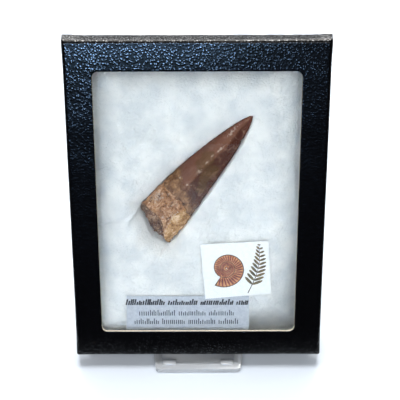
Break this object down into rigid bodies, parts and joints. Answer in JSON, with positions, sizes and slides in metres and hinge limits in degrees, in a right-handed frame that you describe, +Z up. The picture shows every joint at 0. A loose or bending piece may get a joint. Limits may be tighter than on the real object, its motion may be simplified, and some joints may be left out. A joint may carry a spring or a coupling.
{
  "type": "spinosaurus tooth in a display box on an easel",
  "caption": "Fossil tooth mounted on white batting in a shallow black glass-fronted card box, leaning on a small clear easel.",
  "frame": {"origin": "on the ground, at the middle of the bounding box's base", "axes": "+Z up, the window faces -Y and leans back 15 degrees towards +Y, +X to the right seen from the front"},
  "size_m": [0.087, 0.0514, 0.1128],
  "materials": {
    "leatherette": "black grained leatherette-covered card, satin",
    "glass": "clear polished pane",
    "tray_paper": "black grained paper-covered card",
    "batting": "white polyester fibre",
    "tooth": "glossy brown enamel, rough tan root",
    "card": null,
    "label": "pale printed paper, plain ruled lines",
    "clear_plastic": "clear moulded polystyrene"
  },
  "bodies": {
    "root": {"lid": "leatherette", "glass_pane": "glass", "tray": "tray_paper", "batting": "batting", "tooth": "tooth", "picture_card": "card", "name_label": "label", "easel": "clear_plastic"}
  },
  "joints": []
}
